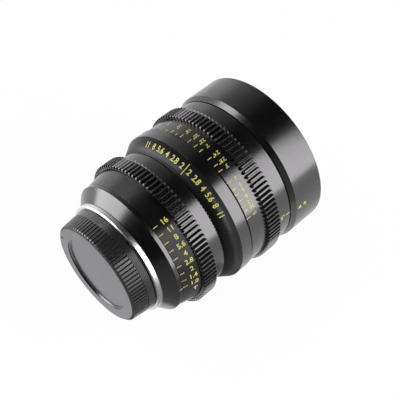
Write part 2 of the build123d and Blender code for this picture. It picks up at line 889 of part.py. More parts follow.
def iris_cam_ring():
    """Turning ring with one curved slot for each blade's drive pin, and the lever that turns it."""
    body = tube(cam_ring_radius, cam_ring_bore, cam_ring_start, cam_ring_end)
    lever = extrude(
        cross_plane(cam_ring_start) * Pos((cam_ring_radius + lever_radius) / 2 - 0.5 * lever_width, 0)
        * Rectangle(lever_radius - cam_ring_radius + lever_width, lever_width),
        cam_ring_thickness,
    )
    body += about_axis(lever, lever_turn)
    points = []
    for i in range(slot_samples):
        share = i / (slot_samples - 1)
        x, y = drive_point(share * blade_swing)
        back = radians(-share * aperture_throw)
        points.append((x * cos(back) - y * sin(back), x * sin(back) + y * cos(back)))
    half = drive_pin + running_fit
    slot = trace(Spline(*points), 2 * half)
    slot += Pos(*points[0]) * Circle(half)
    slot += Pos(*points[-1]) * Circle(half)
    cutter = extrude(cross_plane(cam_ring_start - overrun) * slot, cam_ring_thickness + 2 * overrun)
    return body - around(cutter, blade_count)


def iris_cover():
    """Ring that closes the iris housing in front of the cam ring."""
    body = tube(iris_radius, iris_cover_bore, cover_start, neck_start)
    return body - group_screw_holes()


def group_screw_holes():
    """Holes for the long screws that clamp the rear cell and iris to the group barrel."""
    start = iris_station - rear_cell_flange - overrun
    hole = axial_pin(group_screw_shank, group_screw_circle, start, neck_start + group_screw_engagement)
    return around(hole, group_screw_count, group_screw_turn)


def group_screws():
    """Long screws through the rear cell's flange and the iris into the group barrel."""
    start = iris_station - rear_cell_flange - group_screw_head_height
    length = neck_start + group_screw_engagement - start
    screw = headed_screw(
        group_screw_shank, group_screw_head, group_screw_head_height, group_screw_circle, start, length, 1
    )
    return Compound(children=around(screw, group_screw_count, group_screw_turn))


def group_barrel():
    """Sliding barrel of the optical group: neck, follower holes and three stepped glass seats."""
    relief_end = front_seat_station - relief_margin
    body = turned(
        (neck_bore, neck_start),
        (iris_radius, neck_start),
        (iris_radius, group_start),
        (group_radius, group_start),
        (group_radius, group_start + bearing_land),
        (group_radius - relief_depth, group_start + bearing_land),
        (group_radius - relief_depth, relief_end),
        (group_radius, relief_end),
        (group_radius, group_end),
        (front_cell_bore + seat_fit, group_end),
        (front_cell_bore + seat_fit, front_seat_station),
        (middle_cell_bore + seat_fit, front_seat_station),
        (middle_cell_bore + seat_fit, middle_seat_station),
        (rear_seat_bore + seat_fit, middle_seat_station),
        (rear_seat_bore + seat_fit, rear_seat_station),
        (neck_bore, rear_seat_station),
    )
    hole = radial_pin(follower_shank, group_radius - follower_root, group_radius + overrun, follower_y)
    body -= around(hole, follower_count, follower_turn)
    return body - group_screw_holes()


def rear_cell():
    """Rear cell: flange on the iris housing, body and nose that reaches into the mount's throat."""
    nose_end = rear_cell_start + rear_nose_length
    flange_start = iris_station - rear_cell_flange
    body = turned(
        (rear_cell_bore + seat_fit, rear_cell_start),
        (rear_nose_radius, rear_cell_start),
        (rear_nose_radius, nose_end),
        (rear_cell_radius, nose_end),
        (rear_cell_radius, flange_start),
        (iris_radius, flange_start),
        (iris_radius, iris_station),
        (rear_cell_opening, iris_station),
        (rear_cell_opening, element_6_end),
        (rear_cell_bore + seat_fit, element_6_end),
    )
    return body - group_screw_holes()


def ring_between(radius, start, end):
    """A thin spacer or retaining ring inside a bore."""
    return tube(radius, radius - ring_land, start, end)


def front_ring():
    """Front retaining ring: spigot on the first element, ridged cone and a bare front lip."""
    ridge_count = 3
    lip_end = group_end + front_ring_lip
    inner_start = front_cell_bore - ring_land
    run = (lip_end - element_1_end) / ridge_count
    step = (front_ring_mouth - inner_start) / ridge_count
    cone = [(inner_start, element_1_end)]
    for i in range(ridge_count):
        cone.append((inner_start + i * step, element_1_end + (i + 1) * run))
        cone.append((inner_start + (i + 1) * step, element_1_end + (i + 1) * run))
    return turned(
        *cone,
        (group_radius, lip_end),
        (group_radius, group_end),
        (front_cell_bore, group_end),
        (front_cell_bore, element_1_end),
    )


def rear_cap():
    """Push-and-turn rear cap: grooved taper, smooth collar, dished face and three inner lugs."""
    rear = -cap_depth
    rib_start = rear + cap_bevel_depth
    collar_start = -cap_collar_length
    mouth = -cap_gap
    dish = rear + cap_dish_depth
    relief_radius = cap_rib_radius - cap_relief_depth
    body = turned(
        (0, dish),
        (cap_dish_radius - cap_dish_cove, dish),
        (cap_dish_radius, dish - cap_dish_cove),
        (cap_dish_radius, rear),
        (cap_face_radius, rear),
        (cap_rear_radius, rib_start),
        (cap_rib_radius, collar_start - cap_relief_width),
        (relief_radius, collar_start - cap_relief_width),
        (relief_radius, collar_start),
        (cap_rib_radius, collar_start),
        (cap_mouth_radius, mouth - cap_collar_edge),
        (cap_mouth_radius - cap_collar_edge, mouth),
        (cap_mouth_bore, mouth),
        (cap_bore, dish + cap_floor),
        (0, dish + cap_floor),
    )
    length = cap_depth - cap_collar_length
    groove_width = 2 * pi * cap_rib_radius / cap_groove_count * cap_groove_share
    front_base = cap_rib_radius - cap_groove_depth
    rear_base = cap_rear_radius - cap_groove_depth
    side = Plane.YZ * make_face(
        Polyline((rear, rear_base), (collar_start, front_base), (collar_start, front_base + length),
                 (rear, rear_base + length), close=True)
    )
    groove = extrude(side, groove_width / 2, both=True)
    body -= around(groove, cap_groove_count)
    dimple_circle = cap_face_radius - cap_dimple_inset
    dimple = axial_pin(cap_dimple_radius, dimple_circle, rear - overrun, rear + cap_dimple_depth)
    body -= about_axis(dimple, cap_dimple_turn)
    lug_rear = -claw_setback + (claw_setback - cap_lug_thickness) / 2
    lug_outer = cap_mouth_bore + cap_wall / 2
    lug_band = tube(lug_outer, cap_bore - cap_lug_reach, lug_rear, lug_rear + cap_lug_thickness)
    lug = lug_band & sector(lug_outer, -cap_lug_span / 2, cap_lug_span / 2, -cap_depth, 0)
    return body + around(lug, claw_count, claw_turn + 180 / claw_count)


def save(name, shape):
    """Write one piece as its own STEP file."""
    export_step(shape, os.path.join("parts", name + ".step"))


def main():
    os.makedirs("parts", exist_ok=True)
    pieces = {
        "mount_ring": mount_ring(),
        "mount_screws": mount_screws(),
        "rear_baffle": rear_baffle(),
        "rear_housing": rear_housing(),
        "rear_screws": rear_screws(),
        "guide_tube": guide_tube(),
        "barrel_screws": barrel_screws(),
        "main_barrel": main_barrel(),
        "front_barrel": front_barrel(),
        "aperture_ring": aperture_ring(),
        "aperture_key": aperture_key(),
        "key_screws": key_screws(),
        "focus_ring": focus_ring(),
        "focus_screws": focus_screws(),
        "cam_sleeve": cam_sleeve(),
        "guide_followers": guide_followers(),
        "cam_followers": cam_followers(),
        "follower_screws": follower_screws(),
        "group_barrel": group_barrel(),
        "group_screws": group_screws(),
        "front_ring": front_ring(),
        "element_1": element(
            front_cell_bore, element_1_start, element_1_end, element_1_rear_sag, element_1_front_sag
        ),
        "front_spacer": ring_between(front_cell_bore, element_2_end, element_1_start),
        "element_2": element(
            front_cell_bore, element_2_start, element_2_end, element_2_rear_sag, element_2_front_sag
        ),
        "middle_retainer": ring_between(middle_cell_bore, element_3_end, element_3_end + middle_ring_length),
        "element_3": element(
            middle_cell_bore, element_3_start, element_3_end, element_3_rear_sag, element_3_front_sag
        ),
        "doublet_retainer": ring_between(rear_seat_bore, element_4_end, element_4_end + rear_seat_ring_length),
        "element_4": element(
            rear_seat_bore, element_4_start, element_4_end, cement_sag, element_4_front_sag, rear_land=0
        ),
        "element_5": element(
            rear_seat_bore, element_5_start, element_4_start, element_5_rear_sag, cement_sag, front_land=0
        ),
        "iris_housing": iris_housing(),
        "iris_cam_ring": iris_cam_ring(),
        "iris_cover": iris_cover(),
        "rear_cell": rear_cell(),
        "element_6": element(
            rear_cell_bore, element_6_start, element_6_end, element_6_rear_sag, element_6_front_sag
        ),
        "rear_spacer": ring_between(rear_cell_bore, element_7_end, element_6_start),
        "element_7": element(
            rear_cell_bore, element_7_start, element_7_end, element_7_rear_sag, element_7_front_sag
        ),
        "rear_retainer": ring_between(rear_cell_bore, rear_cell_start, element_7_start),
        "rear_cap": rear_cap(),
    }
    for index in range(blade_count):
        pieces[f"iris_blade_{index + 1}"] = iris_blade(index)
    for name, shape in pieces.items():
        save(name, shape)


main()
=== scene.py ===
import json
from math import atan2, cos, degrees, hypot, pi, radians, sin

import bmesh
import bpy
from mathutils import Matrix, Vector
from mathutils.bvhtree import BVHTree


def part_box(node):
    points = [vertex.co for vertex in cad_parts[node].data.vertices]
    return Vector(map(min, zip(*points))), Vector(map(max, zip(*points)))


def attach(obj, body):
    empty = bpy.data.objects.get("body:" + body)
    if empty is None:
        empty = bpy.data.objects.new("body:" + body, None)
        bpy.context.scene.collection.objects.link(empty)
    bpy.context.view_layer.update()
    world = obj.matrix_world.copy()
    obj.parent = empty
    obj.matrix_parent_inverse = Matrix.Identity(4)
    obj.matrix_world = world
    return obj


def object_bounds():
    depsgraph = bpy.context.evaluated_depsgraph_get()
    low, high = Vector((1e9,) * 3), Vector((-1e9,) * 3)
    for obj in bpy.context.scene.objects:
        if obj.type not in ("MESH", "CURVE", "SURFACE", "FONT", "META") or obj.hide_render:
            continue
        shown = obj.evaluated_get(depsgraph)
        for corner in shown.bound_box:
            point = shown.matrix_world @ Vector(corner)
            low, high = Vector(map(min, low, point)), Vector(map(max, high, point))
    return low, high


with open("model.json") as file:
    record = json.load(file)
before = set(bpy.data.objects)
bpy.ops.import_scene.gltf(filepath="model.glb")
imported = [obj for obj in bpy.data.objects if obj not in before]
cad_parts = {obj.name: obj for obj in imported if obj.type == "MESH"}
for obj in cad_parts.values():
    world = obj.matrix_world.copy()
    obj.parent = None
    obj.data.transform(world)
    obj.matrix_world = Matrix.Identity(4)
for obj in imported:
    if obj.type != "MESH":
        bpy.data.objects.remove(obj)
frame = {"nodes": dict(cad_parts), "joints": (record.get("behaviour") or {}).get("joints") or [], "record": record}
cad_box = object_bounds()

# Lengths are in metres, so a size of the lens is a number of millimetres times mm.
# Angles about the optical axis run from +Z towards +X, in degrees.
mm = 0.001

# Camera, for a square picture
sensor_width = 36.0
focal_length = 81.64
camera_from_front = Vector((195.6, -231.1, 357.2)) * mm
camera_forward = Vector((-0.4325, 0.4171, -0.7994))

# Studio
studio_centre = Vector((0, 45, 0)) * mm
floor_radius = 4.0
floor_gap = 0.3 * mm
floor_white = 0.95
floor_glow_share = 0.96
ambient_strength = 0.35
lamp_distance = 0.6

# Cards that only show in gloss, in metres. Shades run across a card, as (x, radiance) or (x, y, radiance).
ceiling_height = 0.70
ceiling_shades = (
    (-2.6, 1.0), (-1.9, 0.68), (-0.84, 0.42), (-0.40, 0.2), (-0.14, 0.0), (0.51, 0.0),
)
right_ceiling_shades = ((0.51, 0.0), (2.0, 0.0))
rear_card_height = 0.66
rear_card_shades = ((-0.43, -0.03, 5.5), (-0.19, -0.385, 5.5))
right_wall_height = 0.70
right_wall_shades = (
    (-0.25, -0.62, 0.0), (0.45, -0.62, 0.0), (0.95, -0.30, 0.25), (1.15, -0.05, 0.4),
)
right_floor_start, right_floor_end = 0.03, 1.3
right_floor_shades = ((-0.62, 0.05), (-0.2, 0.22), (0.055, 0.35))

# Rear cap, for its colours: steps are from its rear end, and each pair is where a colour starts and is full
cap_rim_steps = (0.3 * mm, 0.05 * mm)
cap_dish_steps = (1.5 * mm, 1.3 * mm)
cap_dish_radii = (19.5 * mm, 19.1 * mm)
cap_rib_steps = (1.0 * mm, 8.6 * mm)
cap_rib_radii = (26.8 * mm, 27.6 * mm)
cap_groove_depths = (0.15 * mm, 0.5 * mm)
cap_side_radii = (25.3 * mm, 25.7 * mm)

# Radius at which marks that run round the lens are measured
turned_radius = 30 * mm

# Paint on the scales
paint_proud = 0.025 * mm
paint_sunk = 0.03 * mm
bend_step = 0.5 * mm
tick_width = 0.36 * mm
weld_share = 1 / 500

# Weights of the letters: how far the font's outline grows, in its own units
bold = 0.022
fine = 0.006

# Aperture scale: stops from wide open, a fixed turn apart, read against the index on the rear housing
aperture_stops = ("1.0", "1.4", "2", "2.8", "4", "5.6", "8", "11", "16")
aperture_stop_turn = 7.0
index_angle = 82.7
aperture_index_angle = index_angle + 1.0
aperture_index_length = 1.8 * mm
aperture_tick_margin = 0.1 * mm
aperture_tick_length = 2.5 * mm
aperture_number_height = 2.5 * mm
aperture_number_place = 6.4 * mm
stop_letter_angle = 91.7

# Focus scales in feet and inches: a distance u in feet stands at infinity's angle less the throw over u
focus_infinity_angle = 61.7
focus_numbers = (
    ("\u221e", None), ("20", 20), ("12", 12), ("8", 8), ("6", 6), ("5", 5), ("4", 4), ("3'", 3),
    ("2'8\"", 8 / 3), ("2'4\"", 7 / 3), ("2'", 2), ("22\"", 22 / 12), ("20\"", 20 / 12),
    ("18\"", 18 / 12), ("16\"", 16 / 12), ("14\"", 14 / 12), ("12\"", 1),
)
focus_plain_ticks = (17 / 12, 15 / 12, 13 / 12)
focus_tick_start = 0.4 * mm
focus_tick_length = 2.4 * mm
plain_tick_share = 0.7
focus_number_height = 1.95 * mm
focus_number_place = 5.6 * mm
focus_index_far, focus_index_near = 5.6 * mm, 0.6 * mm
focus_index_width = tick_width * 1.4
side_numbers = (
    ("\u221e", None), ("10", 10), ("5", 5), ("3'", 3), ("2'", 2), ("18\"", 1.5), ("15\"", 1.25), ("12\"", 1),
)
side_number_height = 2.3 * mm
side_number_place = 6.0 * mm
side_tick_far, side_tick_near = 3.4 * mm, 0.5 * mm
pointer_place = 4.4 * mm
pointer_length = 2.6 * mm
pointer_width = 2.1 * mm
unit_place = 8.4 * mm

# Row of numbers on the lettered band, either side of its middle
band_angle = 9.0
band_numbers = ("11", "8", "5.6", "4", "2.8", "2", "2", "2.8", "4", "5.6", "8", "11")
band_number_turn = 7.1
band_number_height = 2.5 * mm
band_length = 7.2 * mm
band_margin = 0.04 * mm
band_skin = 0.03 * mm
band_segments = 256
band_number_place = 4.1 * mm
band_line_start, band_line_end = 1.2 * mm, 6.4 * mm

# Bevelled ends of the gear teeth
tooth_height = 1.75 * mm
tooth_bevel = 0.45 * mm
tooth_gap_share = 1.25
tip_tolerance = 0.01 * mm

# Painted shade: dull black bands at the gaps between the rings
seam_width = 0.42 * mm
seam_chamfer = 0.28 * mm
seam_edge = 0.02 * mm
seam_skin = 0.01 * mm

# Filter thread
thread_pitch = 0.75 * mm
thread_depth = 0.35 * mm
thread_steps = 180
thread_radius = 38.1 * mm
thread_length = 5.6 * mm
thread_inset = 0.7 * mm
thread_sunk = 0.02 * mm
thread_foot_share = 0.45
thread_crest_share = 0.08
thread_fade_turns = 0.25


def place(angle, radius, y):
    """The point at an angle about the optical axis."""
    return Vector((radius * sin(radians(angle)), y, radius * cos(radians(angle))))


def along(node):
    """Rear and front end of a node along the optical axis."""
    low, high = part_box(node)
    return low.y, high.y


def aim(thing, target):
    """Turn a lamp so that its -Z side faces a point."""
    thing.rotation_mode = "QUATERNION"
    thing.rotation_quaternion = (target - thing.location).to_track_quat("-Z", "Y")


def linked(name, data):
    """A new object in the scene."""
    made = bpy.data.objects.new(name, data)
    bpy.context.scene.collection.objects.link(made)
    return made


class Nodes:
    """Short calls for a material's node tree."""

    def __init__(self, name, base, roughness, metallic=0.0, **plain):
        self.material = bpy.data.materials.new(name)
        self.material.use_nodes = True
        self.tree = self.material.node_tree
        self.shader = self.tree.nodes["Principled BSDF"]
        self.shader.inputs["Base Color"].default_value = (*base, 1.0)
        self.shader.inputs["Roughness"].default_value = roughness
        self.shader.inputs["Metallic"].default_value = metallic
        for key, value in plain.items():
            self.shader.inputs[key.replace("_", " ")].default_value = value

    def add(self, kind, inputs=None, **settings):
        made = self.tree.nodes.new(kind)
        for key, value in settings.items():
            setattr(made, key, value)
        for key, value in (inputs or {}).items():
            self.put(made.inputs[key], value)
        return made

    def put(self, socket, value):
        if isinstance(value, bpy.types.NodeSocket):
            self.tree.links.new(value, socket)
        else:
            socket.default_value = value

    def math(self, operation, a, b=0.0):
        return self.add("ShaderNodeMath", {0: a, 1: b}, operation=operation).outputs[0]

    def position(self):
        return self.add("ShaderNodeTexCoord").outputs["Object"]

    def turned_position(self, around=0.02):
        """Radius and place along the axis, with only a little of the angle, for marks that run round."""
        parts = self.add("ShaderNodeSeparateXYZ", {0: self.position()})
        x, y, z = parts.outputs
        radius = self.from_axis(x, z)
        angle = self.math("MULTIPLY", self.math("ARCTAN2", x, z), around * turned_radius)
        return self.add("ShaderNodeCombineXYZ", {0: radius, 1: y, 2: angle}).outputs[0]

    def from_axis(self, x, z):
        """Distance from the optical axis."""
        squares = self.math("ADD", self.math("MULTIPLY", x, x), self.math("MULTIPLY", z, z))
        return self.math("SQRT", squares)

    def noise(self, vector, size, detail=2.0, roughness=0.5):
        """Noise whose features are about that size."""
        inputs = {"Vector": vector, "Scale": 1 / size, "Detail": detail, "Roughness": roughness}
        return self.add("ShaderNodeTexNoise", inputs).outputs["Fac"]

    def ramp(self, value, low, high, out_low, out_high):
        inputs = {"Value": value, "From Min": low, "From Max": high, "To Min": out_low, "To Max": out_high}
        return self.add("ShaderNodeMapRange", inputs).outputs["Result"]

    def mix_colour(self, share, a, b):
        made = self.add("ShaderNodeMix", data_type="RGBA")
        self.put(made.inputs[0], share)
        self.put(made.inputs[6], (*a, 1.0) if isinstance(a, tuple) else a)
        self.put(made.inputs[7], (*b, 1.0) if isinstance(b, tuple) else b)
        return made.outputs[2]

    def edges(self, width, low=0.0, high=0.25):
        """How near a surface point is to a sharp edge, from 0 to 1."""
        rounded = self.add("ShaderNodeBevel", {"Radius": width}, samples=4).outputs[0]
        flat = self.add("ShaderNodeNewGeometry").outputs["Normal"]
        meet = self.add("ShaderNodeVectorMath", {0: rounded, 1: flat}, operation="DOT_PRODUCT")
        return self.ramp(self.math("SUBTRACT", 1.0, meet.outputs["Value"]), low, high, 0.0, 1.0)

    def rounded_bump(self, height, depth, width=None):
        """Bump from a height field, over normals that are rounded at sharp edges."""
        bump = self.add("ShaderNodeBump", {"Height": height, "Distance": depth, "Strength": 1.0})
        if width:
            rounded = self.add("ShaderNodeBevel", {"Radius": width}, samples=4)
            self.put(bump.inputs["Normal"], rounded.outputs[0])
        self.put(self.shader.inputs["Normal"], bump.outputs[0])

    def set(self, **sockets):
        for key, value in sockets.items():
            self.put(self.shader.inputs[key.replace("_", " ")], value)
        return self.material


def black_anodised():
    """Satin black anodised aluminium: fine blasted grain, faint turning lines, edges made lighter partly by wear
    and partly by a painted highlight.
    """
    n = Nodes("black_anodised", (0.005, 0.005, 0.0053), 0.2, IOR=1.78, Specular_Tint=(1.0, 0.975, 1.0, 1.0))
    grain = n.noise(n.position(), 0.12 * mm, 3.0, 0.6)
    lines = n.noise(n.turned_position(), 0.16 * mm, 2.0)
    cloud = n.noise(n.position(), 9 * mm, 3.0)
    patches = n.ramp(n.noise(n.position(), 1.6 * mm, 4.0), 0.35, 0.7, 0.6, 1.0)
    # Edge mask: partly rubbed wear, partly a painted highlight for the thin bright lines that chamfered edges
    # catch
    worn = n.math("MULTIPLY", n.edges(0.1 * mm), patches)
    colour = n.mix_colour(cloud, (0.0035, 0.0035, 0.0037), (0.0068, 0.0068, 0.0071))
    # Edges turn pale grey: wear and painted highlight together
    colour = n.mix_colour(n.math("MULTIPLY", worn, 0.4), colour, (0.13, 0.13, 0.133))
    roughness = n.math("ADD", n.ramp(grain, 0.2, 0.8, 0.17, 0.24), n.ramp(cloud, 0.3, 0.7, -0.012, 0.012))
    height = n.math("ADD", grain, n.math("MULTIPLY", lines, 0.6))
    n.rounded_bump(height, 0.003 * mm, 0.12 * mm)
    return n.set(Base_Color=colour, Roughness=roughness)


def band_lacquer():
    """Dull black lacquer on the lettered band, with a faint roller texture."""
    n = Nodes("band_lacquer", (0.008, 0.008, 0.0085), 0.42, IOR=1.33)
    grain = n.noise(n.position(), 0.25 * mm, 3.0, 0.6)
    cloud = n.noise(n.position(), 6 * mm, 3.0)
    colour = n.mix_colour(cloud, (0.006, 0.006, 0.0065), (0.012, 0.012, 0.0125))
    n.rounded_bump(grain, 0.003 * mm, 0.06 * mm)
    return n.set(Base_Color=colour, Roughness=n.ramp(grain, 0.25, 0.75, 0.36, 0.47))


def inner_black():
    """Matt black anodising inside the lens, with turning lines."""
    n = Nodes("inner_black", (0.012, 0.012, 0.013), 0.55, IOR=1.6)
    lines = n.noise(n.turned_position(), 0.3 * mm, 3.0)
    colour = n.mix_colour(lines, (0.008, 0.008, 0.009), (0.018, 0.018, 0.019))
    n.rounded_bump(lines, 0.02 * mm)
    return n.set(Base_Color=colour, Roughness=n.ramp(lines, 0.2, 0.8, 0.45, 0.62))


def painted_gap_shade():
    """Matt black painted shade for the gaps where two turned edges meet."""
    n = Nodes("painted_gap_shade", (0.003, 0.003, 0.003), 0.9, Specular_IOR_Level=0.12)
    cloud = n.noise(n.position(), 0.8 * mm, 3.0)
    n.rounded_bump(cloud, 0.004 * mm)
    colour = n.mix_colour(cloud, (0.002, 0.002, 0.002), (0.004, 0.004, 0.004))
    return n.set(Base_Color=colour, Roughness=n.ramp(cloud, 0.3, 0.7, 0.85, 0.95))


def chrome():
    """Bright plated mount with fine turning lines."""
    n = Nodes("chrome", (0.68, 0.68, 0.69), 0.16, metallic=1.0)
    lines = n.noise(n.turned_position(0.1), 0.12 * mm, 3.0, 0.6)
    cloud = n.noise(n.position(), 5 * mm, 3.0)
    colour = n.mix_colour(cloud, (0.62, 0.62, 0.63), (0.74, 0.74, 0.75))
    n.rounded_bump(lines, 0.003 * mm, 0.15 * mm)
    return n.set(Base_Color=colour, Roughness=n.ramp(lines, 0.25, 0.75, 0.24, 0.34))


def screw_steel():
    """Blackened screws."""
    n = Nodes("screw_steel", (0.12, 0.12, 0.125), 0.35, metallic=1.0)
    cloud = n.noise(n.position(), 0.6 * mm, 4.0)
    colour = n.mix_colour(cloud, (0.07, 0.07, 0.075), (0.20, 0.20, 0.205))
    n.rounded_bump(cloud, 0.01 * mm, 0.1 * mm)
    return n.set(Base_Color=colour, Roughness=n.ramp(cloud, 0.3, 0.7, 0.28, 0.45))


def follower_brass():
    """Turned brass followers."""
    n = Nodes("follower_brass", (0.65, 0.45, 0.16), 0.3, metallic=1.0)
    cloud = n.noise(n.position(), 0.5 * mm, 4.0)
    colour = n.mix_colour(cloud, (0.56, 0.38, 0.13), (0.72, 0.52, 0.21))
    n.rounded_bump(cloud, 0.006 * mm)
    return n.set(Base_Color=colour, Roughness=n.ramp(cloud, 0.3, 0.7, 0.22, 0.4))


def blade_steel():
    """Blackened spring steel blades with a fine brushed direction."""
    n = Nodes("blade_steel", (0.03, 0.03, 0.032), 0.4, metallic=0.6)
    parts = n.add("ShaderNodeMapping", {"Vector": n.position(), "Scale": (1.0, 1.0, 0.05)})
    lines = n.noise(parts.outputs[0], 0.2 * mm, 3.0)
    colour = n.mix_colour(lines, (0.022, 0.022, 0.024), (0.045, 0.045, 0.048))
    n.rounded_bump(lines, 0.004 * mm)
    return n.set(Base_Color=colour, Roughness=n.ramp(lines, 0.3, 0.7, 0.32, 0.48))


def coated_glass():
    """Optical glass; its coating reflects a little blue and green."""
    n = Nodes(
        "coated_glass", (0.93, 0.97, 0.95), 0.0, IOR=1.6, Transmission_Weight=1.0,
        Specular_Tint=(0.045, 0.06, 0.12, 1.0),
    )
    haze = n.noise(n.position(), 6 * mm, 3.0)
    colour = n.mix_colour(haze, (0.92, 0.965, 0.94), (0.955, 0.98, 0.965))
    n.rounded_bump(haze, 0.00005 * mm)
    return n.set(Base_Color=colour, Roughness=n.ramp(haze, 0.3, 0.7, 0.0, 0.003))


def cap_plastic():
    """Moulded plastic with a fine grain: dark ribbed sides, grooves made duller and darkened with painted shade, a
    paler face.
    """
    n = Nodes("cap_plastic", (0.085, 0.084, 0.087), 0.24, IOR=1.9)
    grain = n.noise(n.position(), 0.16 * mm, 2.0, 0.6)
    cloud = n.noise(n.position(), 7 * mm, 3.0)
    worn = n.edges(0.2 * mm)
    x, y, z = n.add("ShaderNodeSeparateXYZ", {0: n.position()}).outputs
    radius = n.from_axis(x, z)
    rear, _ = along("rear_cap")
    rim = n.ramp(y, *(rear + step for step in cap_rim_steps), 0.0, 1.0)
    floor = n.ramp(y, *(rear + step for step in cap_dish_steps), 0.0, 1.0)
    dish = n.math("MULTIPLY", n.ramp(radius, *cap_dish_radii, 0.0, 1.0), floor)
    rib_top = n.ramp(y, *(rear + step for step in cap_rib_steps), *cap_rib_radii)
    deep = n.ramp(n.math("SUBTRACT", rib_top, radius), *cap_groove_depths, 0.0, 1.0)
    side = n.ramp(radius, *cap_side_radii, 0.0, 1.0)
    groove_shade = n.math("MULTIPLY", deep, side)
    colour = n.mix_colour(cloud, (0.016, 0.0158, 0.0165), (0.023, 0.0226, 0.0236))
    colour = n.mix_colour(n.math("MULTIPLY", worn, 0.3), colour, (0.16, 0.158, 0.165))
    # Painted shade: the floors of the grooves between the ribs turn near black
    colour = n.mix_colour(groove_shade, colour, (0.006, 0.006, 0.0062))
    colour = n.mix_colour(n.math("MAXIMUM", rim, dish), colour, (0.050, 0.040, 0.062))
    roughness = n.math("MAXIMUM", n.ramp(grain, 0.25, 0.75, 0.17, 0.25), n.math("MULTIPLY", groove_shade, 0.85))
    n.rounded_bump(grain, 0.006 * mm, 0.1 * mm)
    return n.set(Base_Color=colour, Roughness=roughness)


def paint(name, low, high):
    """Filled engraving: dull paint, a little uneven."""
    n = Nodes(name, high, 0.55, IOR=1.45)
    cloud = n.noise(n.position(), 0.35 * mm, 3.0, 0.6)
    n.rounded_bump(cloud, 0.01 * mm)
    return n.set(Base_Color=n.mix_colour(cloud, low, high), Roughness=n.ramp(cloud, 0.3, 0.7, 0.5, 0.65))


def dress_cad(materials):
    """Give every CAD node the material of its slot in the record."""
    slots = {p["node"]: p["material_slot"] for p in frame["record"]["subparts"]}
    for name, obj in frame["nodes"].items():
        obj.data.materials.clear()
        obj.data.materials.append(materials[slots[name]])


class Marks:
    """Letters and lines wrapped on the surface of one CAD node, as one piece."""

    def __init__(self, name, carrier, body, material, lift=0.0):
        self.name, self.body, self.material, self.lift = name, body, material, lift
        self.surface = BVHTree.FromObject(frame["nodes"][carrier], bpy.context.evaluated_depsgraph_get())
        self.mesh = bmesh.new()

    def radius(self, angle, y):
        """Radius of the carrier's outside at a place."""
        start = place(angle, 0.1, y)
        hit = self.surface.ray_cast(start, place(angle, -1.0, 0.0).normalized())[0]
        return hypot(hit.x, hit.z) + self.lift

    def wrap(self, flat, angle, y, along_axis, facing):
        """Bend a flat bmesh round the lens. Its x runs along the axis or round it, as `facing` says."""
        base = self.radius(angle, y)
        for v in flat.verts:
            if along_axis:
                away, turn = facing * v.co.x, -facing * v.co.y
            else:
                away, turn = facing * v.co.y, facing * v.co.x
            here = angle + degrees(turn / base)
            v.co = place(here, self.radius(here, y + away) + v.co.z, y + away)
        made = bpy.data.meshes.new(self.name)
        flat.to_mesh(made)
        flat.free()
        self.mesh.from_mesh(made)
        bpy.data.meshes.remove(made)

    def cut(self, flat, along_axis):
        """Cut a flat bmesh into strips, so that it can follow the round surface."""
        side = 1 if along_axis else 0
        normal = Vector((0, 1, 0)) if along_axis else Vector((1, 0, 0))
        places = [v.co[side] for v in flat.verts]
        low, high = min(places), max(places)
        count = int((high - low) / bend_step)
        for i in range(1, count + 1):
            point = normal * (low + (high - low) * i / (count + 1))
            everything = flat.verts[:] + flat.edges[:] + flat.faces[:]
            bmesh.ops.bisect_plane(flat, geom=everything, plane_co=point, plane_no=normal)

    def tick(self, angle, start, end, width=tick_width):
        """A line along the axis."""
        flat = bmesh.new()
        bmesh.ops.create_cube(flat, size=1.0)
        for v in flat.verts:
            v.co.x *= end - start
            v.co.y *= width
            v.co.z = paint_proud if v.co.z > 0 else -paint_sunk
        self.wrap(flat, angle, (start + end) / 2, True, 1)

    def pointer(self, angle, y, length, width):
        """A small triangle whose point is towards the rear."""
        flat = bmesh.new()
        corners = ((-length / 2, 0), (length / 2, width / 2), (length / 2, -width / 2))
        top = [flat.verts.new((a, b, paint_proud)) for a, b in corners]
        base = [flat.verts.new((a, b, -paint_sunk)) for a, b in corners]
        flat.faces.new(top)
        flat.faces.new(base)
        for i in range(3):
            j = (i + 1) % 3
            flat.faces.new((top[i], top[j], base[j], base[i]))
        self.wrap(flat, angle, y, True, 1)

    def word(self, text, height, angle, y, along_axis=True, facing=1, weight=bold):
        """A number centred on a place. Facing 1 reads towards the front, or towards growing angles."""
        flat = flat_text(text, height, weight)
        self.cut(flat, along_axis)
        self.wrap(flat, angle, y, along_axis, facing)

    def finish(self):
        made = bpy.data.meshes.new(self.name)
        bmesh.ops.recalc_face_normals(self.mesh, faces=self.mesh.faces[:])
        self.mesh.to_mesh(made)
        self.mesh.free()
        made.materials.append(self.material)
        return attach(linked(self.name, made), self.body)


def text_mesh(text, weight):
    """The outlines of a word as a thin closed mesh, at the font's own size."""
    curve = bpy.data.curves.new("word", "FONT")
    curve.body = text
    curve.extrude = 0.5
    curve.offset = weight
    curve.resolution_u = 3
    thing = linked("word", curve)
    bpy.context.view_layer.update()
    mesh = bpy.data.meshes.new_from_object(thing.evaluated_get(bpy.context.evaluated_depsgraph_get()))
    bpy.data.objects.remove(thing)
    bpy.data.curves.remove(curve)
    return mesh


def flat_text(text, height, weight):
    """A word in the flat, its digits `height` tall, with the middle of its digits at the origin."""
    digit = text_mesh("8", weight)
    tall = max(v.co.y for v in digit.vertices)
    mesh = text_mesh(text, weight)
    wide = [v.co.x for v in mesh.vertices]
    middle = (min(wide) + max(wide)) / 2
    scale = height / tall
    flat = bmesh.new()
    flat.from_mesh(mesh)
    for v in flat.verts:
        v.co.x = (v.co.x - middle) * scale
        v.co.y = (v.co.y - tall / 2) * scale
        v.co.z = paint_proud if v.co.z > 0 else -paint_sunk
    bmesh.ops.remove_doubles(flat, verts=flat.verts[:], dist=height * weld_share)
    bpy.data.meshes.remove(digit)
    bpy.data.meshes.remove(mesh)
    return flat


